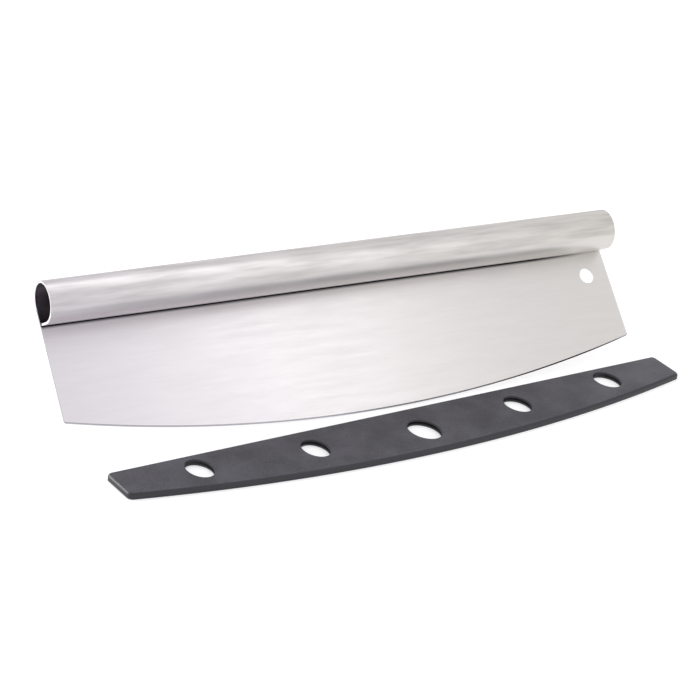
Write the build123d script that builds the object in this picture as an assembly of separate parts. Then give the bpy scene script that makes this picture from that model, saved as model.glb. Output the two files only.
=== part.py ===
"""Rocking pizza knife: one steel sheet rolled into blade and handle, and a moulded blade guard.

The origin is the middle of the handle's axis. +X runs along the handle, +Z is up, and +Y points
away from the side that shows the open curl. The knife leans back with its cutting edge on the
table, and the guard, taken off, lies flat on the table in front of it.
"""

import os
from math import cos, radians, sin, sqrt

from build123d import *

# The rolled sheet: handle and blade. Lengths are in millimetres, angles in degrees. The curl ends
# this angle past the tube's lowest point and goes on as a straight lip, up to a gap at the blade.
sheet_thickness = 1.2
handle_length = 350.0
handle_radius = 11.4
curl_end_angle = 14.0
curl_gap = 1.3
blade_corner_chord = 351.2
blade_end_height = 50.9
blade_middle_height = 70.5
blade_corner_round = 1.0
bevel_height = 0.7
edge_width = 0.2
hanging_hole_radius = 4.6
hanging_hole_inset = 14.1
hanging_hole_drop = 12.0
lean_back_angle = 45.0

# The blade guard.
blade_side_clearance = 0.15
blade_edge_clearance = 0.4
guard_wall = 1.05
guard_rim = 3.1
guard_end_wall = 3.3
guard_end_taper = 0.5
guard_depth = 43.8
guard_mouth_corner_round = 2.6
guard_rim_corner_round = 2.4
guard_bevel_width = 0.9
guard_bevel_height = 1.1
guard_lip_round = 0.3
guard_foot_round = 0.45
hole_rim_round = 0.25

# The guard's five oval holes: places along it from its middle, depths from its mouth, sizes.
inner_hole_offset = 66.1
outer_hole_offset = 133.1
middle_hole_depth = 23.5
inner_hole_depth = 18.7
outer_hole_depth = 14.0
middle_hole_half_length = 8.5
middle_hole_half_width = 11.0
side_hole_half_length = 7.0
side_hole_half_width = 9.5

# Where the guard lies, measured on the table from the point where the cutting edge touches it.
guard_shift_along = 10.3
guard_mouth_ahead = 10.3
guard_turn_angle = 4.3

# Every cutting tool runs past the solid that it cuts by this much.
overrun = 5.0

blade_half_chord = blade_corner_chord / 2
blade_sagitta = blade_middle_height - blade_end_height
blade_edge_radius = (blade_half_chord**2 + blade_sagitta**2) / (2 * blade_sagitta)
bore_radius = handle_radius - sheet_thickness
blade_middle_y = handle_radius - sheet_thickness / 2
cutting_edge_z = -handle_radius - blade_middle_height

slot_thickness = sheet_thickness + 2 * blade_side_clearance
slot_depth = guard_depth - guard_rim
slot_half_length = blade_half_chord + blade_edge_clearance
slot_edge_radius = blade_edge_radius + blade_edge_clearance
guard_thickness = slot_thickness + 2 * guard_wall
guard_half_length = slot_half_length + guard_end_wall
guard_edge_radius = slot_edge_radius + guard_rim


def arc_drop(radius, half_chord):
    """How far an arc of this radius falls from its middle to the end of its half chord."""
    return radius - sqrt(radius**2 - half_chord**2)


def sheet_section():
    """The sheet seen from its end: down the blade, round the handle and back to the blade."""
    foot_z = cutting_edge_z - overrun
    curl_end = -90.0 + curl_end_angle
    outside = CenterArc((0, 0), handle_radius, 0, 360.0 + curl_end)
    inside = CenterArc((0, 0), bore_radius, 360.0 + curl_end, -360.0 - curl_end)
    lip_end_y = bore_radius - curl_gap
    lip_length = (lip_end_y - (outside @ 1).X) / cos(radians(curl_end_angle))
    lip_run = lip_length * (outside % 1)
    lip = Polyline(outside @ 1, outside @ 1 + lip_run, inside @ 0 + lip_run, inside @ 0)
    blade = Polyline(inside @ 1, (bore_radius, foot_z), (handle_radius, foot_z), outside @ 0)
    return make_face(Wire([outside, *lip.edges(), inside, *blade.edges()]))


def knife_outline():
    """The knife seen from the front: the straight handle above, the curved blade below."""
    half_length = handle_length / 2
    corner_z = -handle_radius - blade_end_height
    top_z = handle_radius + overrun
    cutting_edge = ThreePointArc(
        (-blade_half_chord, corner_z),
        (0, cutting_edge_z),
        (blade_half_chord, corner_z),
    )
    rest = Polyline(
        cutting_edge @ 1,
        (half_length, -handle_radius),
        (half_length, top_z),
        (-half_length, top_z),
        (-half_length, -handle_radius),
        cutting_edge @ 0,
    )
    outline = make_face(Wire([cutting_edge, *rest.edges()]))
    blade_corners = outline.vertices().sort_by(Axis.Y)[:2]
    return fillet(blade_corners, blade_corner_round)


def edge_grinding(face_y, outward):
    """The ring that grinding takes off one face of the blade, all along its cutting edge."""
    centre_z = cutting_edge_z + blade_edge_radius
    ground_depth = (sheet_thickness - edge_width) / 2
    past_edge_y = face_y - outward * ground_depth * (bevel_height + overrun) / bevel_height
    heel_z = cutting_edge_z + bevel_height
    low_z = cutting_edge_z - overrun
    side_y = face_y + outward * overrun
    profile = Polyline(
        (face_y, heel_z),
        (past_edge_y, low_z),
        (side_y, low_z),
        (side_y, heel_z),
        close=True,
    )
    turning_axis = Axis((0, 0, centre_z), (0, 1, 0))
    return revolve(Plane.YZ * make_face(profile), axis=turning_axis)


def hanging_hole():
    """The tool that cuts the round hole near the right-hand end of the blade."""
    hole_x = handle_length / 2 - hanging_hole_inset
    hole_z = -handle_radius - hanging_hole_drop
    drill = Cylinder(hanging_hole_radius, 2 * (handle_radius + overrun))
    return Pos(hole_x, blade_middle_y, hole_z) * Rot(X=90) * drill


def blade_and_handle():
    """The knife, one sheet all through, upright with its handle's axis on X."""
    reach = blade_corner_chord
    sheet = extrude(Plane.YZ * sheet_section(), amount=reach, both=True)
    outline = extrude(Plane.XZ * knife_outline(), amount=reach, both=True)
    knife = sheet & outline
    knife -= edge_grinding(handle_radius, 1)
    knife -= edge_grinding(bore_radius, -1)
    knife -= hanging_hole()
    return knife


def guard_outline(height, inset, mouth_inset):
    """The guard seen from above at one height, drawn in from its widest outline."""
    half_mouth = guard_half_length - inset
    half_rim = half_mouth - guard_end_taper
    rim_radius = guard_edge_radius - inset
    rim_y = -guard_depth + inset
    corner_y = rim_y + arc_drop(rim_radius, half_rim)
    rim = ThreePointArc((-half_rim, corner_y), (0, rim_y), (half_rim, corner_y))
    mouth = Polyline(
        rim @ 1,
        (half_mouth, -mouth_inset),
        (-half_mouth, -mouth_inset),
        rim @ 0,
    )
    outline = make_face(Wire([rim, *mouth.edges()]))
    mouth_corners = outline.vertices().sort_by(Axis.Y)[2:]
    outline = fillet(mouth_corners, guard_mouth_corner_round - mouth_inset)
    rim_corners = outline.vertices().sort_by(Axis.Y)[:2]
    outline = fillet(rim_corners, guard_rim_corner_round - inset)
    return Pos(0, 0, height) * outline


def guard_slot():
    """The slot that the blade slips into, open at the guard's straight edge."""
    corner_y = -slot_depth + arc_drop(slot_edge_radius, slot_half_length)
    bottom = ThreePointArc(
        (-slot_half_length, corner_y),
        (0, -slot_depth),
        (slot_half_length, corner_y),
    )
    sides = Polyline(
        bottom @ 1,
        (slot_half_length, overrun),
        (-slot_half_length, overrun),
        bottom @ 0,
    )
    outline = make_face(Wire([bottom, *sides.edges()]))
    return extrude(Pos(0, 0, guard_wall) * outline, amount=slot_thickness)


def guard_hole(along, depth, half_length, half_width):
    """The tool that cuts one oval hole right through the guard."""
    oval = Pos(along, -depth, -overrun) * Ellipse(half_length, half_width)
    return extrude(oval, amount=guard_thickness + 2 * overrun)


def guard_holes():
    """All five holes: the large one in the middle and two smaller ones on each side."""
    holes = [
        guard_hole(0, middle_hole_depth, middle_hole_half_length, middle_hole_half_width),
    ]
    for side in (-1, 1):
        for offset, depth in (
            (inner_hole_offset, inner_hole_depth),
            (outer_hole_offset, outer_hole_depth),
        ):
            sizes = (side_hole_half_length, side_hole_half_width)
            holes.append(guard_hole(side * offset, depth, *sizes))
    return holes


def blade_guard():
    """The guard, lying flat, with the middle of its mouth's lower edge at the origin."""
    bevel_z = guard_thickness - guard_bevel_height
    levels = [
        guard_outline(0, guard_foot_round, guard_foot_round),
        guard_outline(guard_foot_round, 0, 0),
        guard_outline(bevel_z, 0, 0),
        guard_outline(guard_thickness, guard_bevel_width, guard_lip_round),
    ]
    guard = loft(levels, ruled=True)
    for hole in guard_holes():
        guard -= hole
    flat_faces = guard.faces().filter_by(Axis.Z).sort_by(SortBy.AREA)[-2:]
    rims = [edge for face in flat_faces for wire in face.inner_wires() for edge in wire.edges()]
    guard = fillet(rims, hole_rim_round)
    return guard - guard_slot()


def lean_back(upright):
    """Tip the upright knife back about its handle's axis."""
    return Rot(X=-lean_back_angle) * upright


def edge_touch():
    """Where the leaning knife's cutting edge touches the table: its Y and Z."""
    lean = radians(lean_back_angle)
    heel_y = blade_middle_y + edge_width / 2
    touch_y = heel_y * cos(lean) + cutting_edge_z * sin(lean)
    touch_z = cutting_edge_z * cos(lean) - heel_y * sin(lean)
    return touch_y, touch_z


def lay_on_table(guard):
    """Put the guard where it lies on the table, in front of the cutting edge."""
    touch_y, touch_z = edge_touch()
    place = Pos(guard_shift_along, touch_y - guard_mouth_ahead, touch_z)
    return place * Rot(Z=guard_turn_angle) * guard


def main():
    os.makedirs("parts", exist_ok=True)
    nodes = {
        "blade_and_handle": lean_back(blade_and_handle()),
        "blade_guard": lay_on_table(blade_guard()),
    }
    for name, solid in nodes.items():
        export_step(solid, f"parts/{name}.step")
        size = solid.bounding_box().size
        print(f"{name}: {size.X:.1f} x {size.Y:.1f} x {size.Z:.1f} mm, {solid.volume:.0f} mm3")


main()
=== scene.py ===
# %% [markdown]
# # A rocking pizza knife and its blade guard
#
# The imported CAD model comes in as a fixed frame: every piece below is in metres, in the CAD model's
# own place, so nothing has to be fitted. The real object is two pieces, a knife cut and rolled from
# one sheet of stainless steel, and a moulded plastic guard that slips over its cutting edge. Both
# are made again here with finer curves and softened edges, and ride on the CAD bodies.

# %% Load the frame
from math import cos, pi, radians, sin, sqrt

import bmesh
import bpy
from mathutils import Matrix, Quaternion, Vector


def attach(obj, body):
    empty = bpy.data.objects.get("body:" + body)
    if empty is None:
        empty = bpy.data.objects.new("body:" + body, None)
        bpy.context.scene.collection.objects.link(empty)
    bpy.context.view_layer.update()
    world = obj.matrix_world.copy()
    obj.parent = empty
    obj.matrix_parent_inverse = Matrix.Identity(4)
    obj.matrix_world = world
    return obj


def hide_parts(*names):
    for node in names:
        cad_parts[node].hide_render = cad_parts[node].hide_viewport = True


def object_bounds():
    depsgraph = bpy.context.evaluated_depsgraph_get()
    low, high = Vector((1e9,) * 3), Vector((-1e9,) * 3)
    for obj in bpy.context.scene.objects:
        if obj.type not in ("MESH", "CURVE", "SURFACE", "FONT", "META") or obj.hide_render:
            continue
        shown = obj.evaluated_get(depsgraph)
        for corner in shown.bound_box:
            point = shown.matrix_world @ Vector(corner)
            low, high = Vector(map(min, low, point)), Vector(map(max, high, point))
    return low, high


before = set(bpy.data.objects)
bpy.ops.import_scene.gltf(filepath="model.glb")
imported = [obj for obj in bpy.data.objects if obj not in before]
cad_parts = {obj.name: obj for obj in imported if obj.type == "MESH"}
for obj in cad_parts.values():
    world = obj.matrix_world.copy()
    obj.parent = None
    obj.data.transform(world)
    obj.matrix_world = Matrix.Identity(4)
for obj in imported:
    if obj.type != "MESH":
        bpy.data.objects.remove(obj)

cad_low, cad_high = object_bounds()
print("CAD box from", [round(v, 4) for v in cad_low], "to", [round(v, 4) for v in cad_high])

# %% [markdown]
# ## The knife's sizes
#
# A knife like this is drawn from a few numbers: the thickness of the sheet, how widely it is rolled
# at the top, and the one large arc of the cutting edge. They are the CAD model's own values, so what
# is made from them fits the frame. The origin is the middle of the handle's axis. The knife is made
# upright and leant back at the end.

# %% Sizes of the knife
mm = 0.001
sheet_thickness = 1.2 * mm
handle_length = 350.0 * mm
handle_radius = 11.4 * mm
blade_corner_chord = 351.2 * mm
blade_end_height = 50.9 * mm
blade_middle_height = 70.5 * mm
edge_width = 0.2 * mm
lean_back = radians(45)

# Tools, and ends that are trimmed later, run past by this much.
overrun = 5.0 * mm

sheet_middle_radius = handle_radius - sheet_thickness / 2
half_chord = blade_corner_chord / 2
edge_sagitta = blade_middle_height - blade_end_height
edge_radius = (half_chord**2 + edge_sagitta**2) / (2 * edge_sagitta)
edge_z = -handle_radius - blade_middle_height
print(f"the cutting edge is part of a circle {2 * edge_radius:.3f} m across")

# %% [markdown]
# ## The camera
#
# The knife is seen from its left, from a little above, with a long lens: that keeps the two ends
# nearly the same size. The place and lens come from fitting the outlines of the CAD model, and the
# camera is rolled a few degrees, so that the handle rises towards the right.

# %% Camera
camera_place = Vector((-0.6318, -1.0416, 0.52638))
camera_aim = Vector((-0.00669, -0.03032, -0.03742))
camera_roll = radians(6.27)
lens_length = 124.87
bpy.ops.object.camera_add(location=camera_place)
camera = bpy.context.object
camera.name = "camera"
looking = (camera_aim - camera_place).normalized()
camera_turn = looking.to_track_quat("-Z", "Y") @ Quaternion((0, 0, 1), camera_roll)
camera.rotation_euler = camera_turn.to_euler()
camera.data.lens = lens_length
bpy.context.scene.camera = camera
print("camera looks along", [round(v, 4) for v in looking])
print("camera's up is", [round(v, 4) for v in camera_turn @ Vector((0, 1, 0))])

# %% [markdown]
# ## Colours and nodes
#
# A colour is picked on a screen as an sRGB hex code, but light adds up in linear numbers, so one
# function turns each code to linear. A second small function adds a node with its settings, and
# links it to the sockets that it is given. A third starts a material that has no nodes yet. Every
# material is made with these three.

# %% Colour and node helpers
def linear(code):
    """An sRGB hex code such as c8c8c8 as a linear colour with alpha."""
    channels = [int(code[i:i + 2], 16) / 255 for i in (0, 2, 4)]
    powers = [c / 12.92 if c <= 0.04045 else ((c + 0.055) / 1.055) ** 2.4 for c in channels]
    return (*powers, 1.0)


def add_node(tree, kind, settings, sockets):
    """Add a node, set its settings, and give each socket a value or a link."""
    node = tree.nodes.new(kind)
    for name, value in settings.items():
        setattr(node, name, value)
    for name, value in sockets.items():
        if isinstance(value, bpy.types.NodeSocket):
            tree.links.new(value, node.inputs[name])
        else:
            node.inputs[name].default_value = value
    return node


def empty_material(name):
    """A new material without any nodes, and its node tree."""
    material = bpy.data.materials.new(name)
    material.use_nodes = True
    material.node_tree.nodes.clear()
    return material, material.node_tree


print("steel grey d2d0d1 is", [round(v, 3) for v in linear("d2d0d1")])

# %% [markdown]
# ## The studio floor
#
# The knife is shown on plain white. The floor is a sheet of matte white paper that takes the soft
# shadows. To the camera and in reflections it also glows a little, as a lit table in a studio does.
# Lamps alone could light the paper until it is white, but they would light the knife too hard.

# %% Floor
floor_gap = 0.05 * mm
paper_grain = 2.5 * mm
table_glow = 0.45
floor_width = 16
floor_z = cad_low.z - floor_gap
bpy.ops.object.select_all(action="DESELECT")
bpy.ops.mesh.primitive_plane_add(size=floor_width, location=(0, 0, floor_z))
floor = bpy.context.object
floor.name = "floor"
paper, tree = empty_material("matte_white_paper")
ray = add_node(tree, "ShaderNodeLightPath", {}, {})
seen = add_node(
    tree, "ShaderNodeMath", {"operation": "MAXIMUM"},
    {0: ray.outputs["Is Camera Ray"], 1: ray.outputs["Is Glossy Ray"]},
)
seen_or_through = add_node(
    tree, "ShaderNodeMath", {"operation": "MAXIMUM"},
    {0: seen.outputs[0], 1: ray.outputs["Is Transmission Ray"]},
)
lift = add_node(
    tree, "ShaderNodeMath", {"operation": "MULTIPLY"},
    {0: seen_or_through.outputs[0], 1: table_glow},
)
place = add_node(tree, "ShaderNodeTexCoord", {}, {})
grain = add_node(
    tree, "ShaderNodeTexNoise", {},
    {"Vector": place.outputs["Object"], "Scale": 1 / paper_grain},
)
paper_tone = add_node(
    tree, "ShaderNodeMix", {"data_type": "RGBA"},
    {0: grain.outputs["Fac"], 6: linear("cecece"), 7: linear("d2d2d2")},
)
matte = add_node(tree, "ShaderNodeBsdfDiffuse", {}, {"Color": paper_tone.outputs[2]})
glow = add_node(
    tree, "ShaderNodeEmission", {}, {"Color": linear("ffffff"), "Strength": lift.outputs[0]}
)
lit_paper = add_node(tree, "ShaderNodeAddShader", {}, {0: matte.outputs[0], 1: glow.outputs[0]})
add_node(tree, "ShaderNodeOutputMaterial", {}, {"Surface": lit_paper.outputs[0]})
floor.data.materials.append(paper)
print(f"floor at {1000 * floor_z:.2f} mm")

# %% [markdown]
# ## The room
#
# Brushed steel is a picture of its room. A white tent round the table gives it an even light from all
# sides, with a trace of violet. To the camera the tent is plain white.

# %% Room
world = bpy.data.worlds.new("studio_room")
bpy.context.scene.world = world
world.use_nodes = True
world.node_tree.nodes.clear()
tree = world.node_tree
ray = add_node(tree, "ShaderNodeLightPath", {}, {})
room = add_node(
    tree, "ShaderNodeBackground", {}, {"Color": linear("fdfcff"), "Strength": 1.0}
)
backdrop = add_node(
    tree, "ShaderNodeBackground", {}, {"Color": linear("ffffff"), "Strength": 1.0}
)
mix = add_node(
    tree, "ShaderNodeMixShader", {},
    {0: ray.outputs["Is Camera Ray"], 1: room.outputs[0], 2: backdrop.outputs[0]},
)
add_node(tree, "ShaderNodeOutputWorld", {}, {"Surface": mix.outputs[0]})
bpy.context.scene.view_settings.view_transform = "Standard"
print("the room's light is", [round(v, 3) for v in linear("fdfcff")[:3]])

# %% [markdown]
# ## The softboxes
#
# Four softboxes shape the metal. The one overhead gives the bright band along the top of the
# handle's left half, and the long one in front brightens the middle of blade and handle. The one at
# the left shines on the guard's left-hand end, and the low one lifts the handle's front a little.
# They are area lamps, which light as real softboxes do, and the camera doesn't see them.

# %% Softboxes
downwards = (0, 0, radians(24))
from_the_left = Vector((0.43, -0.48, -0.285)).to_track_quat("-Z", "Y").to_euler()
from_the_front = Vector((-0.75, 1.5, -0.55)).to_track_quat("-Z", "Y").to_euler()
for name, place, turn, width, length, watts in (
    ("softbox_overhead", (0.256, 0.20, 1.0), downwards, 0.25, 0.65, 0.7),
    ("softbox_in_front", (0.735, -0.95, 1.0), downwards, 0.25, 1.7, 1.05),
    ("softbox_at_left", (-0.60, 0.42, 0.22), from_the_left, 0.4, 0.3, 3.0),
    ("softbox_low_in_front", (0.75, -1.5, 0.55), from_the_front, 0.6, 0.4, 0.45),
):
    bpy.ops.object.light_add(type="AREA", location=place, rotation=turn)
    softbox = bpy.context.object
    softbox.name = name
    softbox.data.shape = "RECTANGLE"
    softbox.data.size = width
    softbox.data.size_y = length
    softbox.data.energy = watts
    softbox.visible_camera = False
    print(name, "at", place)

# %% [markdown]
# ## Working by hand, in code
#
# Blender's modelling operators act on whatever is selected. These helpers do what a hand does: they
# clear the selection, name a new shape, and pick the corners, edges or faces of a piece that a rule
# wants.

# %% Picking
def put_down_everything():
    """Leave edit mode and select nothing."""
    if bpy.context.mode != "OBJECT":
        bpy.ops.object.mode_set(mode="OBJECT")
    bpy.ops.object.select_all(action="DESELECT")


def name_new_piece(name):
    """Name the primitive that was just added, and put its place and turn into its mesh."""
    piece = bpy.context.object
    piece.name = name
    bpy.ops.object.transform_apply(location=True, rotation=True, scale=True)
    return piece


def pick(piece, kind, wanted):
    """In edit mode, select the VERT, EDGE or FACE elements that the rule wants."""
    bpy.context.view_layer.objects.active = piece
    if bpy.context.mode != "EDIT_MESH":
        bpy.ops.object.mode_set(mode="EDIT")
    bpy.ops.mesh.select_mode(type=kind)
    bpy.ops.mesh.select_all(action="DESELECT")
    shape = bmesh.from_edit_mesh(piece.data)
    elements = {"VERT": shape.verts, "EDGE": shape.edges, "FACE": shape.faces}[kind]
    found = [element for element in elements if wanted(element)]
    for element in found:
        element.select_set(True)
    shape.select_flush_mode()
    bmesh.update_edit_mesh(piece.data)
    return len(found)


put_down_everything()
print(len(bpy.context.selected_objects), "objects are selected")

# %% [markdown]
# ## The knife's section
#
# The real knife is one flat blank whose top edge is rolled forward round a bar. Its end view is a
# hook: the flat blade runs straight up into the back of an open tube, which comes round over the
# top and the front, goes a little past its lowest point, and ends in a short straight lip close to
# the blade. A circle gives the roll: the part of it behind the lip is taken out, and its two loose
# ends are drawn on, one as the lip, one down as the blade.

# %% Roll, lip and blade as one line
curl_end_angle = radians(14)
curl_gap = 1.3 * mm
roll_points = 180
whisker = 0.01 * mm


def near(value, target):
    """True when two places are less than a whisker apart."""
    return abs(value - target) < whisker


put_down_everything()
bpy.ops.mesh.primitive_circle_add(
    vertices=roll_points,
    radius=sheet_middle_radius,
    location=(-handle_length / 2, 0, 0),
    rotation=(0, pi / 2, 0),
)
knife = name_new_piece("rolled_steel_knife")
curl_end_y = sheet_middle_radius * sin(curl_end_angle)
pick(knife, "VERT", lambda v: v.co.y > curl_end_y + whisker and v.co.z < -whisker)
bpy.ops.mesh.delete(type="VERT")

lip_end_y = handle_radius - sheet_thickness - curl_gap
lip_length = (lip_end_y - handle_radius * sin(curl_end_angle)) / cos(curl_end_angle)
lip_run = (0, lip_length * cos(curl_end_angle), lip_length * sin(curl_end_angle))
pick(knife, "VERT", lambda v: near(v.co.y, curl_end_y) and v.co.z < 0)
bpy.ops.mesh.extrude_vertices_move(TRANSFORM_OT_translate={"value": lip_run})

below_edge_z = edge_z - overrun
pick(knife, "VERT", lambda v: near(v.co.y, sheet_middle_radius) and near(v.co.z, 0))
bpy.ops.mesh.extrude_vertices_move(TRANSFORM_OT_translate={"value": (0, 0, -handle_radius)})
bpy.ops.mesh.extrude_vertices_move(
    TRANSFORM_OT_translate={"value": (0, 0, below_edge_z + handle_radius)}
)
put_down_everything()
print(f"the end view has {len(knife.data.vertices)} points")

# %% [markdown]
# ## From a line to a sheet
#
# The line is drawn out along the handle, which gives a surface without thickness, in the middle of
# the sheet. The blade flares by about half a millimetre at each end on its way down, so its two
# lower corners are moved out. Solidify then gives the sheet its thickness evenly to both sides, as
# a rolled sheet keeps it round every bend.

# %% Draw out the sheet
def apply_modifier(piece, kind, settings):
    """Add a modifier with its settings, and apply it."""
    put_down_everything()
    bpy.context.view_layer.objects.active = piece
    piece.select_set(True)
    modifier = piece.modifiers.new(kind.lower(), kind)
    for name, value in settings.items():
        setattr(modifier, name, value)
    bpy.ops.object.modifier_apply(modifier=modifier.name)


pick(knife, "EDGE", lambda e: True)
bpy.ops.mesh.extrude_edges_move(TRANSFORM_OT_translate={"value": (handle_length, 0, 0)})
flare_per_drop = (half_chord - handle_length / 2) / blade_end_height
corner_flare = flare_per_drop * (-handle_radius - below_edge_z)
for side in (-1, 1):
    pick(knife, "VERT", lambda v: near(v.co.z, below_edge_z) and v.co.x * side > 0)
    bpy.ops.transform.translate(value=(side * corner_flare, 0, 0))
bpy.ops.mesh.select_all(action="SELECT")
bpy.ops.mesh.normals_make_consistent(inside=False)
apply_modifier(
    knife, "SOLIDIFY", {"thickness": sheet_thickness, "offset": 0, "use_even_offset": True}
)
print(f"the blade flares by {1000 * corner_flare:.2f} mm below each end")

# %% [markdown]
# ## The cutting edge's arc
#
# The blade is stamped along one large arc, which is what lets it rock. A disc as large as that
# circle keeps only what lies inside it. The disc's own sides are about 3 mm long, so the arc stays
# within two thousandths of a millimetre of a true circle. The two sharp corners that it leaves are
# bevelled round.

# %% Stamp the arc
disc_sides = 1600
past_the_handle = 30 * mm
blade_corner_round = 1.0 * mm
blade_corner_z = -handle_radius - blade_end_height
arc_centre_z = edge_z + edge_radius


def cut(piece, tool, operation):
    """Cut a piece with a tool, and throw the tool away."""
    before = len(piece.data.polygons)
    settings = {"operation": operation, "object": tool, "solver": "EXACT"}
    apply_modifier(piece, "BOOLEAN", settings)
    print(f"{tool.name}: {before} faces became {len(piece.data.polygons)}")
    bpy.data.objects.remove(tool)


put_down_everything()
bpy.ops.mesh.primitive_cylinder_add(
    vertices=disc_sides,
    radius=edge_radius,
    depth=2 * past_the_handle,
    location=(0, 0, arc_centre_z),
    rotation=(pi / 2, 0, 0),
)
cut(knife, name_new_piece("stamping_disc"), "INTERSECT")


def is_blade_corner(edge):
    """True for the two short edges through the sheet, at the lower corners of the blade."""
    close_by = 0.3 * mm
    places = [v.co for v in edge.verts]
    through = abs(places[0].y - places[1].y) > 0.9 * sheet_thickness
    return through and all(
        abs(p.z - blade_corner_z) < close_by and abs(abs(p.x) - half_chord) < close_by
        for p in places
    )


corners = pick(knife, "EDGE", is_blade_corner)
bpy.ops.mesh.bevel(offset=blade_corner_round, segments=10, affect="EDGES")
put_down_everything()
print(f"{corners} corners rounded")

# %% [markdown]
# ## Grinding the edge
#
# A pizza knife is not sharp like a chef's knife: both faces are ground back over the last 0.7 mm and
# leave a narrow flat. The tool is a second disc, one with a roof-shaped rim. Its thin rim is drawn
# out to both sides and made smaller as it goes, first at 45 degrees and then more steeply, because
# a wheel leaves the slope slightly round. From there it goes straight on, wide enough for the
# handle. What lies inside it is kept.

# %% Grind both faces
ground_height = 0.7 * mm
rim_half_width = 0.05 * mm
roof_overhang = 0.05 * mm
# The thin rim runs past the cutting edge, so that the first slope crosses it at the flat's sides.
rim_radius = edge_radius + edge_width / 2 - rim_half_width
crest_half_width = edge_width / 2 + ground_height / 2
crest_radius = edge_radius - ground_height / 2
upper_slope = (ground_height / 2) / (sheet_thickness / 2 - crest_half_width)
roof_half_width = sheet_thickness / 2 + roof_overhang
roof_radius = crest_radius - (roof_half_width - crest_half_width) * upper_slope
disc_centre = (0, sheet_middle_radius, arc_centre_z)


def weld(piece):
    """Join points that a cut or a bevel left a hair apart, so that the piece stays closed."""
    hair = 0.005 * mm
    before = len(piece.data.vertices)
    pick(piece, "VERT", lambda v: True)
    bpy.ops.mesh.remove_doubles(threshold=hair)
    bpy.ops.mesh.dissolve_degenerate(threshold=hair)
    put_down_everything()
    print(f"{before - len(piece.data.vertices)} points welded")


put_down_everything()
bpy.ops.mesh.primitive_cylinder_add(
    vertices=disc_sides,
    radius=rim_radius,
    depth=2 * rim_half_width,
    location=disc_centre,
    rotation=(pi / 2, 0, 0),
)
grinding_disc = name_new_piece("grinding_disc")
for side in (-1, 1):
    pick(grinding_disc, "FACE", lambda f: f.normal.y * side > 0.9)
    for step, shrink in (
        (crest_half_width - rim_half_width, crest_radius / rim_radius),
        (roof_half_width - crest_half_width, roof_radius / crest_radius),
        (past_the_handle, 1),
    ):
        bpy.ops.mesh.extrude_region_move(TRANSFORM_OT_translate={"value": (0, side * step, 0)})
        bpy.ops.transform.resize(value=(shrink, 1, shrink), center_override=disc_centre)
cut(knife, grinding_disc, "INTERSECT")
weld(knife)

# %% [markdown]
# ## The hanging hole
#
# One round hole near the right-hand end lets the knife hang on a hook. It is punched straight
# through the sheet, just under the handle.

# %% Punch the hanging hole
hanging_hole_radius = 4.6 * mm
hanging_hole_inset = 14.1 * mm
hanging_hole_drop = 12.0 * mm
punch_length = 6 * mm
hole_sides = 96
hole_place = (
    handle_length / 2 - hanging_hole_inset,
    sheet_middle_radius,
    -handle_radius - hanging_hole_drop,
)
put_down_everything()
bpy.ops.mesh.primitive_cylinder_add(
    vertices=hole_sides,
    radius=hanging_hole_radius,
    depth=punch_length,
    location=hole_place,
    rotation=(pi / 2, 0, 0),
)
cut(knife, name_new_piece("punch"), "DIFFERENCE")

# %% [markdown]
# ## Softened edges
#
# A stamped sheet is tumbled before it is sold. That leaves a round of 0.12 mm on its edges, and the
# round catches the light as a bright line along the rim of the handle. Only edges that turn by more
# than 70 degrees are softened, so the ground edge stays crisp. The knife is then leant back to the
# place where the CAD model has it.

# %% Soften, shade and lean the knife
softening = 0.12 * mm
apply_modifier(
    knife,
    "BEVEL",
    {"width": softening, "segments": 2, "limit_method": "ANGLE", "angle_limit": radians(70)},
)
weld(knife)
knife.select_set(True)
bpy.ops.object.shade_smooth_by_angle(angle=radians(10))
knife.rotation_euler = (-lean_back, 0, 0)
bpy.ops.object.transform_apply(location=True, rotation=True, scale=True)
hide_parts("blade_and_handle")
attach(knife, "knife")
print(f"the knife has {len(knife.data.polygons)} faces, "
      f"box {[round(1000 * v, 1) for v in knife.dimensions]} mm")

# %% [markdown]
# ## The guard's sizes
#
# The guard is drawn round the blade. Its slot is the sheet and the edge's arc with a little room on
# every side, and its outside is the slot with walls round it. Most of its sizes are worked out from
# the knife's in this way, so the two pieces go on fitting each other.

# %% Sizes of the guard
side_clearance = 0.15 * mm
edge_clearance = 0.4 * mm
guard_wall = 1.05 * mm
guard_rim = 3.1 * mm
guard_end_wall = 3.3 * mm
guard_depth = 43.8 * mm

slot_thickness = sheet_thickness + 2 * side_clearance
slot_half_length = half_chord + edge_clearance
slot_radius = edge_radius + edge_clearance
slot_depth = guard_depth - guard_rim
guard_thickness = slot_thickness + 2 * guard_wall
guard_half_length = slot_half_length + guard_end_wall
guard_radius = slot_radius + guard_rim
print(f"the guard is {2000 * guard_half_length:.1f} mm long, {1000 * guard_depth:.1f} mm deep "
      f"and {1000 * guard_thickness:.1f} mm thick")

# %% [markdown]
# ## The guard's blank
#
# The guard is one moulding, flat on both sides, whose long rim runs parallel to the cutting edge.
# A slice off a large disc has just that shape, so the blank is a disc cut by three planes: the
# straight mouth and the two ends, which taper in a little towards the rim. The disc has 1500 sides,
# so that none of its corners falls where a corner of the guard is going to be rounded.

# %% Slice the guard's blank off a disc
guard_disc_sides = 1500
guard_end_taper = 0.5 * mm
slope_height = 1.1 * mm
wall_height = guard_thickness - slope_height


def slice_off(piece, place, facing):
    """Cut a piece along a plane, drop what lies on the side it faces, and close the cut."""
    pick(piece, "FACE", lambda f: True)
    bpy.ops.mesh.bisect(
        plane_co=place,
        plane_no=Vector(facing).normalized(),
        threshold=0.001 * mm,
        use_fill=True,
        clear_outer=True,
    )


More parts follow.
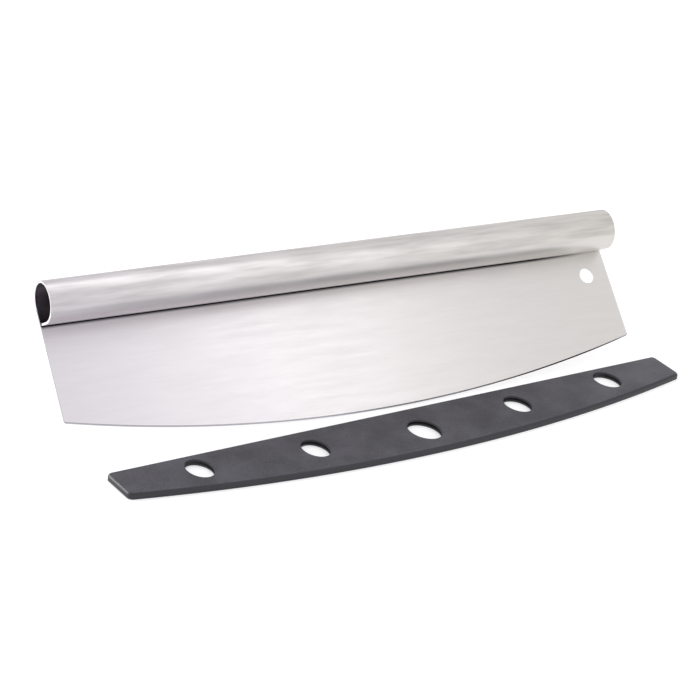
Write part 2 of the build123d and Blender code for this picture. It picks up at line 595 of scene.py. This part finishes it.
put_down_everything()
bpy.ops.mesh.primitive_cylinder_add(
    vertices=guard_disc_sides,
    radius=guard_radius,
    depth=wall_height,
    location=(0, guard_radius - guard_depth, wall_height / 2),
)
guard = name_new_piece("moulded_blade_guard")
rim_half_length = guard_half_length - guard_end_taper
rim_corner_y = guard_radius - guard_depth - sqrt(guard_radius**2 - rim_half_length**2)
end_slope = guard_end_taper / rim_corner_y
slice_off(guard, (0, 0, 0), (0, 1, 0))
slice_off(guard, (guard_half_length, 0, 0), (1, end_slope, 0))
slice_off(guard, (-guard_half_length, 0, 0), (-1, end_slope, 0))
put_down_everything()
print(f"blank {[round(1000 * v, 1) for v in guard.dimensions]} mm")

# %% [markdown]
# ## The guard's corners and sloping sides
#
# The corners by the mouth are rounder than those at the rim. Above a plain side wall the guard
# slopes in to its top face: the top is raised and drawn in in one inset. Along the mouth the slope
# is only a thin lip, so there the top's edge is stretched back out.

# %% Round the corners and raise the sloping top
mouth_corner_round = 2.6 * mm
rim_corner_round = 2.4 * mm
slope_width = 0.9 * mm
guard_lip = 0.3 * mm


def upright_edge(x, y):
    """A rule that finds an upright edge near this place."""
    close_by = 0.4 * mm

    def rule(edge):
        foot, head = (v.co for v in edge.verts)
        at_place = all(
            abs(abs(p.x) - x) < close_by and abs(p.y - y) < close_by for p in (foot, head)
        )
        return at_place and abs(foot.z - head.z) > wall_height / 2
    return rule


mouth_corners = pick(guard, "EDGE", upright_edge(guard_half_length, 0))
bpy.ops.mesh.bevel(offset=mouth_corner_round, segments=12, affect="EDGES")
rim_corners = pick(guard, "EDGE", upright_edge(rim_half_length, rim_corner_y))
bpy.ops.mesh.bevel(offset=rim_corner_round, segments=8, affect="EDGES")
pick(guard, "FACE", lambda f: f.normal.z > 0.9)
bpy.ops.mesh.inset(thickness=slope_width, depth=slope_height)
arc_start_y = -slope_width - mouth_corner_round
stretch = (arc_start_y + guard_lip) / (arc_start_y + slope_width)
pick(guard, "VERT", lambda v: near(v.co.z, guard_thickness) and v.co.y > arc_start_y)
bpy.ops.transform.resize(
    value=(1, stretch, 1), center_override=(0, arc_start_y, guard_thickness)
)
put_down_everything()
print(f"{mouth_corners} mouth corners and {rim_corners} rim corners rounded, "
      f"{1000 * guard.dimensions.z:.1f} mm thick")

# %% [markdown]
# ## The guard's soft edges
#
# A moulding has no sharp edge anywhere: the foot is rounded, and so is each line where a slope
# starts or ends. The line round the top face has the widest round, because it catches the light and
# shows where the face ends.

# %% Soften the foot and the lines of the slope
foot_round = 0.45 * mm
wall_line_round = 0.12 * mm
top_line_round = 0.55 * mm


def lies_round(height):
    """A rule that finds level edges at this height."""
    return lambda e: all(near(v.co.z, height) for v in e.verts)


for height, width, segments in (
    (0, foot_round, 3),
    (wall_height, wall_line_round, 2),
    (guard_thickness, top_line_round, 4),
):
    softened = pick(guard, "EDGE", lies_round(height))
    bpy.ops.mesh.bevel(offset=width, segments=segments, affect="EDGES")
    print(f"{softened} edges softened at {1000 * height:.1f} mm")
put_down_everything()

# %% [markdown]
# ## The oval holes
#
# Five oval holes save plastic and let the blade dry. The large one is in the middle, and the outer
# ones sit nearer the mouth, because the guard is narrower there. One oval tool is made at each
# place, and each rim is rounded while the walls are still plain.

# %% Cut the oval holes
hole_rim_round = 0.45 * mm
# Half sizes of an oval, along the guard and across it.
wide_oval = (8.5 * mm, 11.0 * mm)
narrow_oval = (7.0 * mm, 9.5 * mm)
oval_holes = [(0, 23.5 * mm, *wide_oval)]
for offset, depth in ((66.1 * mm, 18.7 * mm), (133.1 * mm, 14.0 * mm)):
    for side in (-1, 1):
        oval_holes.append((side * offset, depth, *narrow_oval))
for number, (along, depth, reach_along, reach_across) in enumerate(oval_holes, 1):
    put_down_everything()
    bpy.ops.mesh.primitive_cylinder_add(
        vertices=hole_sides,
        radius=1,
        depth=4 * overrun,
        location=(along, -depth, guard_thickness / 2),
        scale=(reach_along, reach_across, 1),
    )
    cut(guard, name_new_piece(f"oval_punch_{number}"), "DIFFERENCE")


def is_hole_rim(edge):
    """True for an edge of the top or the bottom face that goes round an oval hole."""
    just_outside = 1.05
    level = any(all(near(v.co.z, height) for v in edge.verts) for height in (0, guard_thickness))
    middle = (edge.verts[0].co + edge.verts[1].co) / 2
    return level and any(
        ((middle.x - along) / a) ** 2 + ((middle.y + depth) / b) ** 2 < just_outside
        for along, depth, a, b in oval_holes
    )


rims = pick(guard, "EDGE", is_hole_rim)
bpy.ops.mesh.bevel(offset=hole_rim_round, segments=3, affect="EDGES")
put_down_everything()
print(f"{rims} rim edges rounded")

# %% [markdown]
# ## The slot
#
# The blade slips into a slot that is open along the whole mouth, and that shows as a dark line in
# the walls of the holes. Its bottom is an arc too, so a second, thinner slice of a disc is made in
# the same way as the blank, and cut out of it.

# %% Cut the slot
put_down_everything()
bpy.ops.mesh.primitive_cylinder_add(
    vertices=disc_sides,
    radius=slot_radius,
    depth=slot_thickness,
    location=(0, slot_radius - slot_depth, guard_wall + slot_thickness / 2),
)
slot_core = name_new_piece("slot_core")
slice_off(slot_core, (0, overrun, 0), (0, 1, 0))
slice_off(slot_core, (slot_half_length, 0, 0), (1, 0, 0))
slice_off(slot_core, (-slot_half_length, 0, 0), (-1, 0, 0))
cut(guard, slot_core, "DIFFERENCE")

# %% [markdown]
# ## The guard in its place
#
# The guard lies flat on the floor in front of the knife, turned by a few degrees. Its place is given
# from the point where the leaning knife's edge touches the floor, so that point is worked out first.

# %% Shade and place the guard
guard_shift_along = 10.3 * mm
guard_mouth_ahead = 10.3 * mm
guard_turn = radians(4.3)
bpy.ops.object.shade_smooth_by_angle(angle=radians(14))
heel_y = sheet_middle_radius + edge_width / 2
touch_y = heel_y * cos(lean_back) + edge_z * sin(lean_back)
touch_z = edge_z * cos(lean_back) - heel_y * sin(lean_back)
guard.location = (guard_shift_along, touch_y - guard_mouth_ahead, touch_z)
guard.rotation_euler = (0, 0, guard_turn)
bpy.ops.object.transform_apply(location=True, rotation=True, scale=True)
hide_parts("blade_guard")
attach(guard, "guard")
print(f"the guard has {len(guard.data.polygons)} faces, foot at {1000 * touch_z:.2f} mm")

# %% [markdown]
# ## Brushed stainless steel
#
# The sheet is stainless steel, brushed along its length with a fine belt. The belt leaves hairlines:
# they spread a reflection across the lines and leave it sharp along them, so the steel looks soft
# and streaky. A noise pattern stretched along X gives these lines on the flat blade and on the round
# handle alike, because it varies mostly across them. Rolling rubs the handle, and a second, wider
# pattern gives the duller patches that this leaves.

# %% Hairlines and rubbed patches
# Real hairlines are 0.1 mm wide. They are drawn 0.4 mm wide, so that they show at this distance.
hairline_width = 0.4 * mm
hairline_length = 14 * mm
patch_width = 3 * mm
patch_length = 30 * mm


def knife_places(tree):
    """Give a point's place, its place on the upright knife, and its distance from the axis."""
    place = add_node(tree, "ShaderNodeTexCoord", {}, {}).outputs["Object"]
    upright = add_node(
        tree, "ShaderNodeMapping", {}, {"Vector": place, "Rotation": (lean_back, 0, 0)}
    )
    upright_place = add_node(tree, "ShaderNodeSeparateXYZ", {}, {0: upright.outputs[0]})
    flat_place = add_node(
        tree, "ShaderNodeVectorMath", {"operation": "MULTIPLY"}, {0: place, 1: (0, 1, 1)}
    )
    from_axis = add_node(
        tree, "ShaderNodeVectorMath", {"operation": "LENGTH"}, {0: flat_place.outputs[0]}
    )
    return place, upright_place.outputs, from_axis.outputs["Value"]


steel, tree = empty_material("brushed_stainless_steel")
place, upright_place, from_axis = knife_places(tree)
hairline_place = add_node(
    tree, "ShaderNodeMapping", {},
    {"Vector": place, "Scale": (1 / hairline_length, 1 / hairline_width, 1 / hairline_width)},
)
hairlines = add_node(
    tree, "ShaderNodeTexNoise", {},
    {"Vector": hairline_place.outputs[0], "Scale": 1.0, "Detail": 3.0, "Roughness": 0.6},
)
patch_place = add_node(
    tree, "ShaderNodeMapping", {},
    {"Vector": place, "Scale": (1 / patch_length, 1 / patch_width, 1 / patch_width)},
)
patches = add_node(
    tree, "ShaderNodeTexNoise", {},
    {"Vector": patch_place.outputs[0], "Scale": 1.0, "Detail": 2.0},
)
streaks = add_node(
    tree, "ShaderNodeMix", {"data_type": "FLOAT"},
    {0: 0.4, 2: hairlines.outputs["Fac"], 3: patches.outputs["Fac"]},
)
print(f"hairlines {1000 * hairline_width:.1f} mm wide, patches {1000 * patch_width:.1f} mm wide")

# %% [markdown]
# ## The colours of blade and handle
#
# Brushed steel is a light grey. On the blade the streaks vary it only a little, and on the handle
# the rubbed patches are clearly duller. Both looks are worked out for every point, and the point's
# height on the upright knife says which of them counts: the blade and the lip lie lower than the
# roll.

# %% Blade and handle colours
handle_look_ends = -6 * mm
blade_look_starts = -9 * mm
tone = add_node(
    tree, "ShaderNodeMapRange", {},
    {"Value": streaks.outputs[0], "From Min": 0.3, "From Max": 0.7},
)
blade_colour = add_node(
    tree, "ShaderNodeMix", {"data_type": "RGBA"},
    {0: tone.outputs[0], 6: linear("d2d0d1"), 7: linear("d9d7d8")},
)
rubbed = add_node(
    tree, "ShaderNodeMapRange", {},
    {"Value": patches.outputs["Fac"], "From Min": 0.35, "From Max": 0.65},
)
rolled_colour = add_node(
    tree, "ShaderNodeMix", {"data_type": "RGBA"},
    {0: rubbed.outputs[0], 6: linear("c0bebd"), 7: linear("d2d0cf")},
)
on_blade = add_node(
    tree, "ShaderNodeMapRange", {},
    {"Value": upright_place["Z"], "From Min": handle_look_ends, "From Max": blade_look_starts},
)
outside_colour = add_node(
    tree, "ShaderNodeMix", {"data_type": "RGBA"},
    {0: on_blade.outputs[0], 6: rolled_colour.outputs[2], 7: blade_colour.outputs[2]},
)
print(f"the blade's look starts {-1000 * blade_look_starts:.0f} mm below the axis")

# %% [markdown]
# ## The duller bore and the painted shade in the fold
#
# The belt doesn't reach into the handle, so the bore stays duller. The fold between curl and blade
# is given a nearly black colour, which is painted shade under the curl's lip. Both are found by their
# place: the bore by its distance from the axis, the fold by its height on the blade's front face.
# Towards the right-hand end, where the gap lets light in, the painted shade fades.

# %% Bore and fold colours
bore_radius = handle_radius - sheet_thickness
bore_look_starts, bore_look_full = bore_radius + 0.3 * mm, bore_radius + 0.1 * mm
in_bore = add_node(
    tree, "ShaderNodeMapRange", {},
    {"Value": from_axis, "From Min": bore_look_starts, "From Max": bore_look_full},
)
bore_colour = add_node(
    tree, "ShaderNodeMix", {"data_type": "RGBA"},
    {0: in_bore.outputs[0], 6: outside_colour.outputs[2], 7: linear("bcb9be")},
)

# Going up the blade, the fold's painted shade darkens between the first two heights and fades between
# the others.
fold_starts, fold_darkest = -11.2 * mm, -9.7 * mm
fold_fades, fold_ends = -8 * mm, 0.0
# It is pale up to the first distance from the handle's right-hand end, and dark past the second.
pale_end, dark_from = 14 * mm, 45 * mm
face_margin = 0.4 * mm
near_fold = add_node(
    tree, "ShaderNodeMapRange", {},
    {"Value": upright_place["Z"], "From Min": fold_starts, "From Max": fold_darkest},
)
below_axis = add_node(
    tree, "ShaderNodeMapRange", {},
    {"Value": upright_place["Z"], "From Min": fold_ends, "From Max": fold_fades},
)
on_front_face = add_node(
    tree, "ShaderNodeMath", {"operation": "COMPARE"},
    {0: upright_place["Y"], 1: bore_radius, 2: face_margin},
)
before_right_end = add_node(
    tree, "ShaderNodeMapRange", {},
    {"Value": upright_place["X"], "From Min": handle_length / 2 - pale_end,
     "From Max": handle_length / 2 - dark_from},
)
painted_fold_shade = near_fold
for limit in (on_front_face, below_axis, before_right_end):
    painted_fold_shade = add_node(
        tree, "ShaderNodeMath", {"operation": "MULTIPLY"},
        {0: painted_fold_shade.outputs[0], 1: limit.outputs[0]},
    )
# The nearly black colour is painted shade in the fold under the curl's lip.
colour_with_painted_fold_shade = add_node(
    tree, "ShaderNodeMix", {"data_type": "RGBA"},
    {0: painted_fold_shade.outputs[0], 6: bore_colour.outputs[2], 7: linear("403e43")},
)
print(f"the bore is {1000 * bore_radius:.1f} mm in radius")

# %% [markdown]
# ## The finished steel
#
# The steel has a painted tint of coloured light: a trace of rose at the left, of straw at the right.
# A metal's metallic value is 1, and its index stays at the default. The streaks vary the roughness,
# and the hairlines are a fine relief too. The tangent runs round the handle's axis, so the
# anisotropy draws each highlight out across the hairlines, as on real brushed steel.

# %% Finish the steel
hairline_depth = 0.02 * mm
to_the_right = add_node(
    tree, "ShaderNodeMapRange", {},
    {"Value": upright_place["X"], "From Min": -half_chord, "From Max": half_chord},
)
# A painted tint of coloured light, rosy at the left and like straw at the right.
painted_light_tint = add_node(
    tree, "ShaderNodeMix", {"data_type": "RGBA"},
    {0: to_the_right.outputs[0], 6: linear("fffcff"), 7: linear("fffef7")},
)
steel_colour = add_node(
    tree, "ShaderNodeMix", {"data_type": "RGBA", "blend_type": "MULTIPLY"},
    {0: 1.0, 6: colour_with_painted_fold_shade.outputs[2], 7: painted_light_tint.outputs[2]},
)
roughness = add_node(
    tree, "ShaderNodeMapRange", {},
    {"Value": streaks.outputs[0], "From Min": 0.3, "From Max": 0.7, "To Min": 0.36, "To Max": 0.28},
)
relief = add_node(
    tree, "ShaderNodeBump", {},
    {"Height": hairlines.outputs["Fac"], "Strength": 0.6, "Distance": hairline_depth},
)
round_the_handle = add_node(
    tree, "ShaderNodeTangent", {"direction_type": "RADIAL", "axis": "X"}, {}
)
surface = add_node(
    tree, "ShaderNodeBsdfPrincipled", {},
    {"Base Color": steel_colour.outputs[2], "Metallic": 1.0, "Roughness": roughness.outputs[0],
     "Anisotropic": 0.75, "Normal": relief.outputs[0], "Tangent": round_the_handle.outputs[0]},
)
add_node(tree, "ShaderNodeOutputMaterial", {}, {"Surface": surface.outputs[0]})
knife.data.materials.append(steel)
print("steel material has", len(tree.nodes), "nodes")

# %% [markdown]
# ## Sheared edges
#
# The sheet is cut to length before it is rolled. The shears burnish the inner half of the cut, which
# is paler than the brushed faces; its colour is made paler still, a painted highlight, so that it
# shows as a bright thin ring at the open end of the handle. The outer half tears off and stays dull,
# except at the lip, which is cut right through. It is a second material of the same piece, given to
# the faces of the curl that look along X.

# %% Edge material
# Shear lines are 0.1 mm apart. They are drawn 0.3 mm apart, so that they show in a close view.
shear_spacing = 0.3 * mm
shear_depth = 0.02 * mm
burnish_ends, tear_starts = -0.05 * mm, 0.15 * mm
lip_look_ends, ring_look_starts = -9.3 * mm, -8.5 * mm
edge_steel, tree = empty_material("sheared_stainless_edge")
place, upright_place, from_axis = knife_places(tree)
shear_marks = add_node(
    tree, "ShaderNodeTexNoise", {},
    {"Vector": place, "Scale": 1 / shear_spacing, "Detail": 2.0},
)
# The real pale burnish, brightened further into a painted highlight of the ring.
burnish_and_painted_highlight = add_node(
    tree, "ShaderNodeMix", {"data_type": "RGBA"},
    {0: shear_marks.outputs["Fac"], 6: linear("eceaeb"), 7: linear("f8f6f7")},
)
from_middle = add_node(
    tree, "ShaderNodeMath", {"operation": "SUBTRACT"}, {0: from_axis, 1: sheet_middle_radius}
)
in_outer_half = add_node(
    tree, "ShaderNodeMapRange", {},
    {"Value": from_middle.outputs[0], "From Min": burnish_ends, "From Max": tear_starts},
)
above_lip = add_node(
    tree, "ShaderNodeMapRange", {},
    {"Value": upright_place["Z"], "From Min": lip_look_ends, "From Max": ring_look_starts},
)
torn = add_node(
    tree, "ShaderNodeMath", {"operation": "MULTIPLY"},
    {0: in_outer_half.outputs[0], 1: above_lip.outputs[0]},
)
ring_colour = add_node(
    tree, "ShaderNodeMix", {"data_type": "RGBA"},
    {0: torn.outputs[0], 6: burnish_and_painted_highlight.outputs[2], 7: linear("b2b0b2")},
)
relief = add_node(
    tree, "ShaderNodeBump", {},
    {"Height": shear_marks.outputs["Fac"], "Strength": 0.3, "Distance": shear_depth},
)
surface = add_node(
    tree, "ShaderNodeBsdfPrincipled", {},
    {"Base Color": ring_colour.outputs[2], "Metallic": 1.0, "Roughness": 0.45,
     "Normal": relief.outputs[0]},
)
add_node(tree, "ShaderNodeOutputMaterial", {}, {"Surface": surface.outputs[0]})
knife.data.materials.append(edge_steel)
print("edge material has", len(tree.nodes), "nodes")

# %% [markdown]
# ## The sheared faces
#
# A second material is given by hand as well: the faces are selected by their direction and place,
# its slot is made the active one, and the selection is assigned to it.

# %% Give the sheared faces their material
end_margin = 0.5 * mm


def looks_along(face):
    """True for a face that looks along X, to the left or to the right."""
    return abs(face.normal.x) > 0.7


def is_sheared(face):
    """True for a face of the curl's two cut ends."""
    return looks_along(face) and face.calc_center_median().yz.length < handle_radius + end_margin


sheared = pick(knife, "FACE", is_sheared)
knife.active_material_index = 1
bpy.ops.object.material_slot_assign()
put_down_everything()
print(f"{sheared} faces are sheared edges")

# %% [markdown]
# ## The ground edge
#
# The cutting edge is ground last, across the brushing, on a fine wheel. Its narrow slopes are
# smoother than the faces, so they mirror what lies just in front of the knife, and the edge shows as
# a thin line. The line is pale at the left, gets nearly black towards the right, and is pale again at
# the right-hand end. So its colour is mixed from two, by the place along the blade: the nearly black
# one is a painted reflection of the dark guard and the shaded floor in front of the edge.

# %% Ground edge material
# A fine wheel leaves lines 0.05 mm apart. They are drawn 0.4 mm apart, so that they show.
grinding_spacing = 0.4 * mm
grinding_length = 4 * mm
grinding_depth = 0.01 * mm
ground_steel, tree = empty_material("ground_stainless_edge")
place, upright_place, from_axis = knife_places(tree)
grinding_place = add_node(
    tree, "ShaderNodeMapping", {},
    {"Vector": place, "Scale": (1 / grinding_spacing, 1 / grinding_length, 1 / grinding_length)},
)
grinding_lines = add_node(
    tree, "ShaderNodeTexNoise", {}, {"Vector": grinding_place.outputs[0], "Scale": 1.0}
)
pale_colour = add_node(
    tree, "ShaderNodeMix", {"data_type": "RGBA"},
    {0: grinding_lines.outputs["Fac"], 6: linear("9b9a9f"), 7: linear("b4b3b8")},
)
# The nearly black colour is a painted reflection of the dark guard and the shaded floor.
painted_dark_reflection = add_node(
    tree, "ShaderNodeMix", {"data_type": "RGBA"},
    {0: grinding_lines.outputs["Fac"], 6: linear("1c1b20"), 7: linear("2c2b30")},
)
to_the_right = add_node(
    tree, "ShaderNodeMapRange", {},
    {"Value": upright_place["X"], "From Min": -0.1 * half_chord, "From Max": 0.7 * half_chord},
)
before_the_end = add_node(
    tree, "ShaderNodeMapRange", {},
    {"Value": upright_place["X"], "From Min": 0.98 * half_chord, "From Max": 0.8 * half_chord},
)
# Where this mask is high, the edge gets the painted reflection.
painted_reflection_mask = add_node(
    tree, "ShaderNodeMath", {"operation": "MULTIPLY"},
    {0: to_the_right.outputs[0], 1: before_the_end.outputs[0]},
)
ground_colour_with_painted_reflection = add_node(
    tree, "ShaderNodeMix", {"data_type": "RGBA"},
    {0: painted_reflection_mask.outputs[0], 6: pale_colour.outputs[2], 7: painted_dark_reflection.outputs[2]},
)
relief = add_node(
    tree, "ShaderNodeBump", {},
    {"Height": grinding_lines.outputs["Fac"], "Strength": 0.2, "Distance": grinding_depth},
)
surface = add_node(
    tree, "ShaderNodeBsdfPrincipled", {},
    {"Base Color": ground_colour_with_painted_reflection.outputs[2], "Metallic": 1.0, "Roughness": 0.15,
     "Normal": relief.outputs[0]},
)
add_node(tree, "ShaderNodeOutputMaterial", {}, {"Surface": surface.outputs[0]})
knife.data.materials.append(ground_steel)
print("ground edge material has", len(tree.nodes), "nodes")

# %% [markdown]
# ## The ground faces
#
# The slopes lie all along one arc, so they are found by their distance from the middle of its
# circle, on the upright knife. The two cut ends of the blade have the same finish.

# %% Give the ground faces their material
slope_reach = 0.6 * mm


def is_ground(face):
    """True for a face of the narrow slopes along the cutting edge, or of the blade's two ends."""
    middle = face.calc_center_median()
    upright_z = middle.y * sin(lean_back) + middle.z * cos(lean_back)
    from_centre = sqrt(middle.x**2 + (upright_z - arc_centre_z) ** 2)
    at_end = looks_along(face) and abs(middle.x) > handle_length / 2 - end_margin
    on_blade_end = at_end and middle.yz.length > handle_radius + end_margin
    return from_centre > edge_radius - slope_reach or on_blade_end


ground = pick(knife, "FACE", is_ground)
knife.active_material_index = 2
bpy.ops.object.material_slot_assign()
put_down_everything()
print(f"{ground} faces are ground")

# %% [markdown]
# ## Moulded plastic
#
# The guard is injection moulded in a dark grey polypropylene. Its mould is finely spark-eroded, and
# that leaves a grain of about a tenth of a millimetre: the plastic looks matte, with a soft pale
# sheen where it faces the light. The melt also leaves faint clouds, about two centimetres wide. A
# noise pattern gives each of them.

# %% Grain and clouds
# The mould's real grain is 0.1 mm. It is drawn 0.7 mm wide, so that it shows at this distance.
grain_size = 0.7 * mm
cloud_size = 20 * mm
plastic, tree = empty_material("moulded_polypropylene")
place = add_node(tree, "ShaderNodeTexCoord", {}, {})
grain = add_node(
    tree, "ShaderNodeTexNoise", {},
    {"Vector": place.outputs["Object"], "Scale": 1 / grain_size, "Detail": 3.0},
)
cloud = add_node(
    tree, "ShaderNodeTexNoise", {},
    {"Vector": place.outputs["Object"], "Scale": 1 / cloud_size, "Detail": 2.0},
)
mottle = add_node(
    tree, "ShaderNodeMix", {"data_type": "FLOAT"},
    {0: 0.4, 2: grain.outputs["Fac"], 3: cloud.outputs["Fac"]},
)
mottle_range = add_node(
    tree, "ShaderNodeMapRange", {},
    {"Value": mottle.outputs[0], "From Min": 0.4, "From Max": 0.6},
)
flat_colour = add_node(
    tree, "ShaderNodeMix", {"data_type": "RGBA"},
    {0: mottle_range.outputs[0], 6: linear("302f35"), 7: linear("4e4d54")},
)
print(f"grain {1000 * grain_size:.1f} mm wide, clouds {1000 * cloud_size:.0f} mm wide")

# %% [markdown]
# ## Matte faces and smoother slopes
#
# Only the mould's flat faces are eroded. Its slopes and walls are smoother, so there the plastic is
# glossier, and they are given a darker colour, which is painted shade. The direction of a face tells
# them apart: the guard lies flat, so its eroded faces look straight up or down. Polypropylene's index
# is 1.49.

# %% Finish the plastic
grain_depth = 0.1 * mm
slope_roughness = 0.38
facing = add_node(tree, "ShaderNodeSeparateXYZ", {}, {0: place.outputs["Normal"]})
flatness = add_node(
    tree, "ShaderNodeMath", {"operation": "ABSOLUTE"}, {0: facing.outputs["Z"]}
)
on_the_flat = add_node(
    tree, "ShaderNodeMapRange", {},
    {"Value": flatness.outputs[0], "From Min": 0.85, "From Max": 0.98},
)
# Faces that don't look up or down get a darker colour: painted shade on the walls and slopes.
flat_colour_and_painted_wall_shade = add_node(
    tree, "ShaderNodeMix", {"data_type": "RGBA"},
    {0: on_the_flat.outputs[0], 6: linear("26252b"), 7: flat_colour.outputs[2]},
)
eroded_roughness = add_node(
    tree, "ShaderNodeMapRange", {},
    {"Value": grain.outputs["Fac"], "From Min": 0.3, "From Max": 0.7, "To Min": 0.44, "To Max": 0.58},
)
roughness = add_node(
    tree, "ShaderNodeMix", {"data_type": "FLOAT"},
    {0: on_the_flat.outputs[0], 2: slope_roughness, 3: eroded_roughness.outputs[0]},
)
relief = add_node(
    tree, "ShaderNodeBump", {},
    {"Height": grain.outputs["Fac"], "Strength": 0.8, "Distance": grain_depth},
)
surface = add_node(
    tree, "ShaderNodeBsdfPrincipled", {},
    {"Base Color": flat_colour_and_painted_wall_shade.outputs[2], "Roughness": roughness.outputs[0], "IOR": 1.49,
     "Normal": relief.outputs[0]},
)
add_node(tree, "ShaderNodeOutputMaterial", {}, {"Surface": surface.outputs[0]})
guard.data.materials.append(plastic)
print("plastic material has", len(tree.nodes), "nodes")
